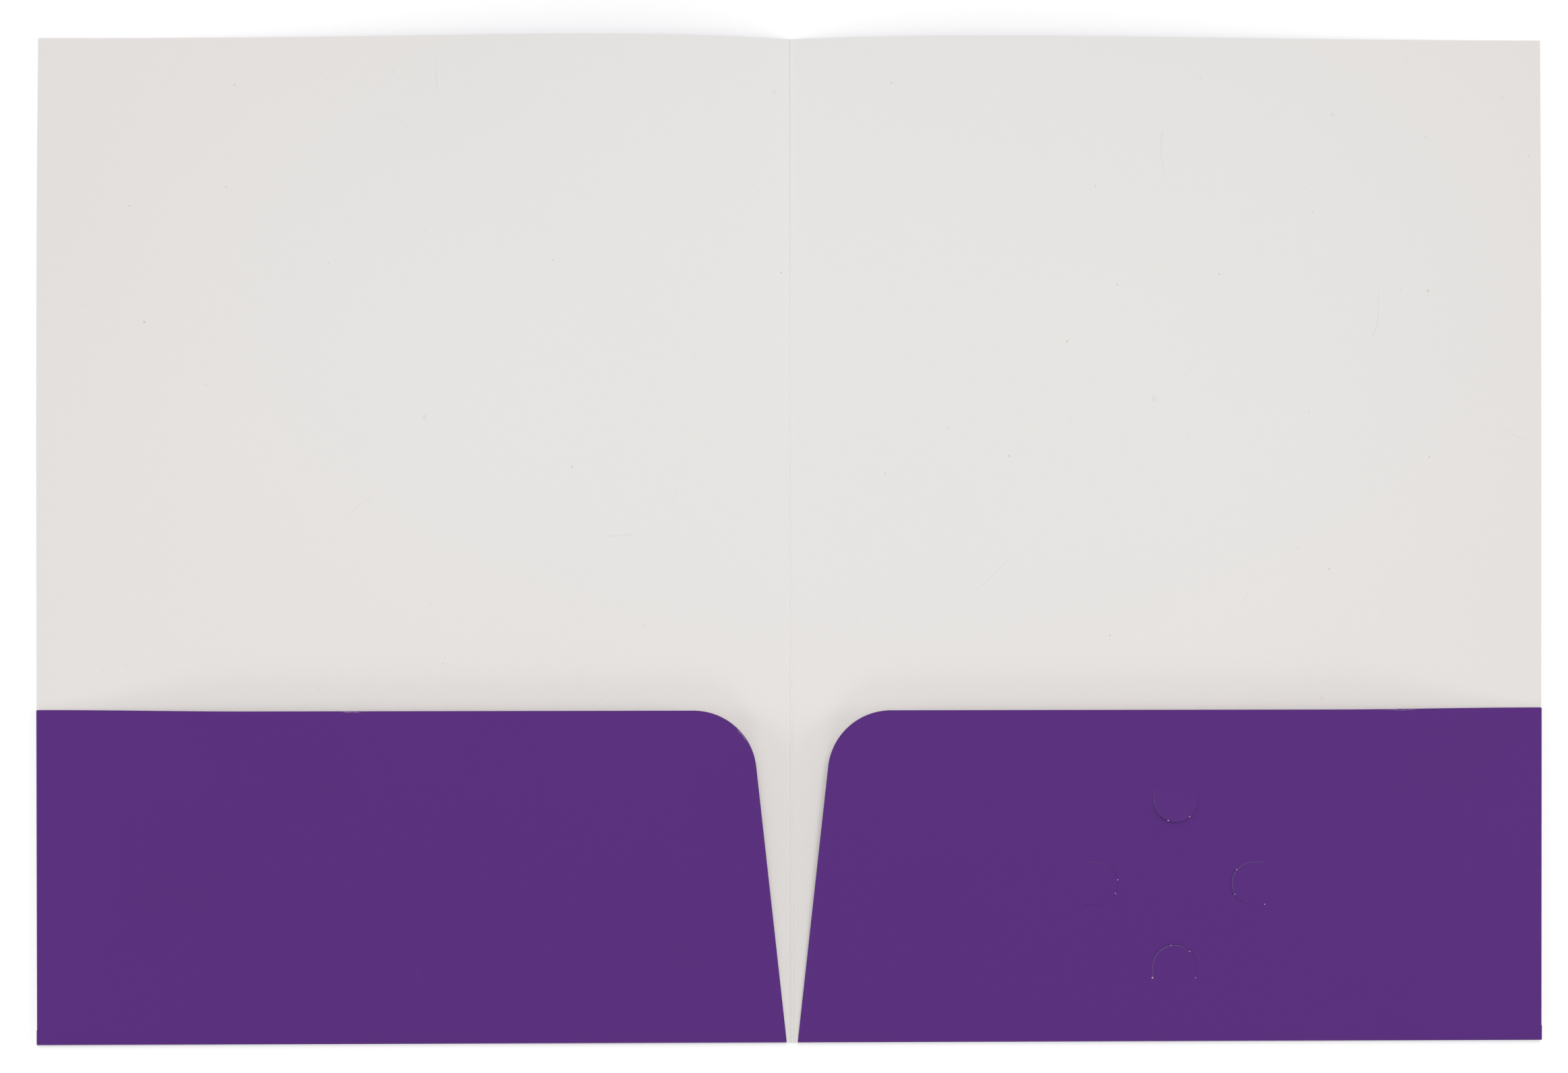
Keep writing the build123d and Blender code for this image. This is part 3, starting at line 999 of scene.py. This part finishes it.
def make_card_tab(tab_name):
    """One half-round card tab, curled a little up off the pocket."""
    tab = half_round(f"card_tab_{tab_name}_sheet", CUT_LINE - CUT_GAP / 2)
    open_sheet(tab)
    bpy.ops.mesh.inset(thickness=RIM_HIGHLIGHT_REACH, depth=0)
    close_sheet()
    for count in range(1, CARD_TAB_STRIPS):
        score(tab, Vector((CARD_TAB_DEPTH * count / CARD_TAB_STRIPS, 0, 0)), Vector((1, 0, 0)))
    mark_rim_highlight(tab, tab_name)
    for vertex in tab.data.vertices:
        vertex.co.z = curl_height(tab_name, vertex.co.x)
    place_on_pocket(tab, tab_name)
    face_film(tab, Vector((0, 0, 1)))
    keep_cut_edges(tab)
    thicken(tab)
    dress(tab, CARD_TAB_FILM, WHITE, FRAYED)
    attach(tab, f"card_tab_{tab_name}")
    flatten_when_closed(tab)
    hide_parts(f"card_tab_{tab_name}_board", f"card_tab_{tab_name}_film")


def make_nub(place, width, seed):
    """One tuft of torn board fibre, left where a nick was broken."""
    bpy.ops.object.select_all(action="DESELECT")
    bpy.ops.mesh.primitive_ico_sphere_add(subdivisions=2, radius=width / 2, location=place)
    nub = bpy.context.object
    nub.scale = NUB_SHAPE
    bpy.ops.object.transform_apply(location=True, rotation=True, scale=True)
    open_sheet(nub)
    bpy.ops.transform.vertex_random(offset=NUB_RAGGEDNESS * width, seed=seed)
    close_sheet()
    return nub


def join_nubs(name, nubs, tab_name, body):
    """Make one piece of the nubs of a card tab and set it on the pocket."""
    bpy.ops.object.select_all(action="DESELECT")
    for nub in nubs:
        nub.select_set(True)
    bpy.context.view_layer.objects.active = nubs[0]
    bpy.ops.object.join()
    tufts = nubs[0]
    tufts.name = name
    tufts.data.name = name
    place_on_pocket(tufts, tab_name)
    bpy.ops.object.shade_smooth_by_angle(angle=NUB_SHARPNESS)
    dress(tufts, TORN)
    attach(tufts, body)
    flatten_when_closed(tufts)


def make_nicks(tab_name):
    """The torn nicks round one card tab: on its round tip, and at the ends of its slit."""
    half = CARD_TAB_WIDTH / 2 + CUT_LINE
    tips = []
    for seed, (across, width) in enumerate(TIP_NICKS[tab_name]):
        along = CARD_TAB_STRAIGHT + sqrt(half**2 - across**2)
        height = curl_height(tab_name, along) - NUB_SINK * width
        tips.append(make_nub(Vector((along, across, height)), width, seed))
    join_nubs(f"card_tab_{tab_name}_nicks", tips, tab_name, f"card_tab_{tab_name}")
    ends = []
    for seed, (way, width) in enumerate(SLIT_END_NICKS.get(tab_name, ())):
        ends.append(make_nub(Vector((0, way * half, -NUB_SINK * width)), width, seed))
    if ends:
        join_nubs(f"card_slit_{tab_name}_ends", ends, tab_name, "back_pocket")


make_spine()
for name in SIDES:
    make_cover(name)
    make_pocket(name)
    make_gusset(name)
    glue_line = frame["nodes"][f"{name}_glue_line"]
    dress(glue_line, GLUE)
for name in CARD_TAB_LIFT:
    make_card_tab(name)
    make_nicks(name)


# Stage, light and camera
def seen_directly(tree):
    """One where a ray comes straight from the camera, a mirror or glass, and nought elsewhere."""
    rays = new_node(tree, "ShaderNodeLightPath").outputs
    seen = reckon(tree, "ADD", rays["Is Camera Ray"], rays["Is Glossy Ray"])
    return reckon(tree, "MINIMUM", 1.0, reckon(tree, "ADD", seen, rays["Is Transmission Ray"]))


def make_floor():
    """A plain pale table top that keeps the folder's shadow and fades to white away from it."""
    bpy.ops.object.select_all(action="DESELECT")
    bpy.ops.mesh.primitive_plane_add(size=FLOOR_SIZE, location=(0, 0, -FLOOR_DROP))
    floor = bpy.context.object
    floor.name = "floor"
    material, tree, shader = new_material("floor_white")
    set_surface(tree, shader, FLOOR_WHITE, roughness=1.0, specular=0.0)
    shader.inputs["Emission Color"].default_value = PURE_WHITE
    away = fade(tree, length_of(tree, object_place(tree)), start=GLOW_START, end=GLOW_END)
    glow = sway(tree, away, amount=FAR_GLOW - NEAR_GLOW, base=NEAR_GLOW)
    tree.links.new(reckon(tree, "MULTIPLY", seen_directly(tree), glow), shader.inputs["Emission Strength"])
    dress(floor, material)


def make_sky():
    """An even sky, white where it is seen."""
    world = bpy.data.worlds.new("sky")
    world.use_nodes = True
    tree = world.node_tree
    tree.nodes.clear()
    lit = new_node(tree, "ShaderNodeBackground", {"Color": PURE_WHITE, "Strength": SKY_SHARE})
    seen = new_node(tree, "ShaderNodeBackground", {"Color": PURE_WHITE, "Strength": 1.0})
    inputs = {0: seen_directly(tree), 1: lit.outputs[0], 2: seen.outputs[0]}
    mixed = new_node(tree, "ShaderNodeMixShader", inputs)
    new_node(tree, "ShaderNodeOutputWorld", {"Surface": mixed.outputs[0]})
    bpy.context.scene.world = world


def make_lamp(name, place, size, share, shines):
    """A soft lamp aimed at the middle of the folder, bright enough for its share of the light there."""
    lamp = bpy.data.objects.new(name, bpy.data.lights.new(name, "AREA"))
    lamp.data.size = size
    lamp.data.energy = share * pi**2 * place.length**3 / place.z
    lamp.visible_glossy = shines
    lamp.location = place
    lamp.rotation_euler = (-place).to_track_quat("-Z", "Y").to_euler()
    bpy.context.scene.collection.objects.link(lamp)


def make_camera():
    """The camera above the open folder."""
    camera = bpy.data.objects.new("camera", bpy.data.cameras.new("camera"))
    camera.data.lens = CAMERA_LENS
    camera.location = CAMERA_PLACE
    camera.rotation_euler = CAMERA_TURN
    bpy.context.scene.collection.objects.link(camera)
    bpy.context.scene.camera = camera


make_floor()
make_sky()
for name, settings in LAMPS.items():
    make_lamp(name, *settings)
make_camera()
bpy.context.scene.view_settings.view_transform = "Standard"
